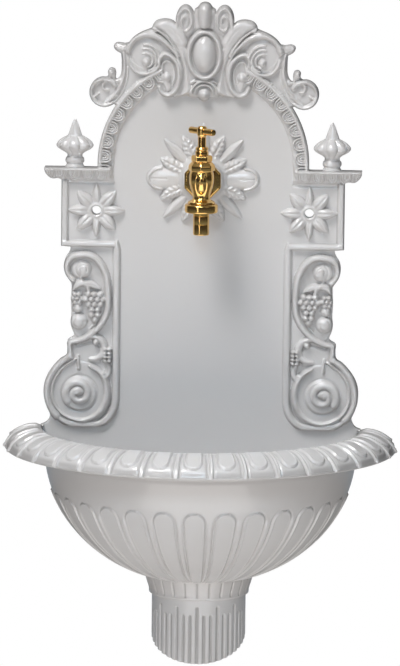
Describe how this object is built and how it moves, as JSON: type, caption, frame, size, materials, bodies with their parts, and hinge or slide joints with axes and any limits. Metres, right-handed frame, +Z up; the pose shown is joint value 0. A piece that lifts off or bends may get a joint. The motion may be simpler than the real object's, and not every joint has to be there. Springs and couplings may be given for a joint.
{
  "type": "wall fountain",
  "caption": "Wall-hung fountain in white enamelled metal: arched carved back plate, half-round fluted basin with scalloped rim, fluted drain cover and brass T-handle tap.",
  "frame": {"origin": "on the flat back of the plate, midway between its two screw holes", "axes": "+Y into the wall, +Z up, +X to the right as seen from the front"},
  "size_m": [0.48, 0.2399, 0.7975],
  "materials": {
    "enamel": "gloss",
    "brass": "polished"
  },
  "bodies": {
    "fountain": {"back_plate": "enamel", "basin": "enamel", "drain_cover": "enamel", "tap_body": "brass", "tap_wall_nut": "brass", "tap_bonnet": "brass", "tap_packing_nut": "brass", "tap_union_nut": "brass", "tap_outlet": "brass"},
    "handle": {"tap_spindle": "brass", "tap_handle": "brass"}
  },
  "joints": [
    {"name": "tap_turn", "type": "hinge", "parent": "fountain", "child": "handle", "pos_m": [0, -0.065, 0.1035], "axis": [0, 0, 1], "range_deg": [0, 810]}
  ]
}
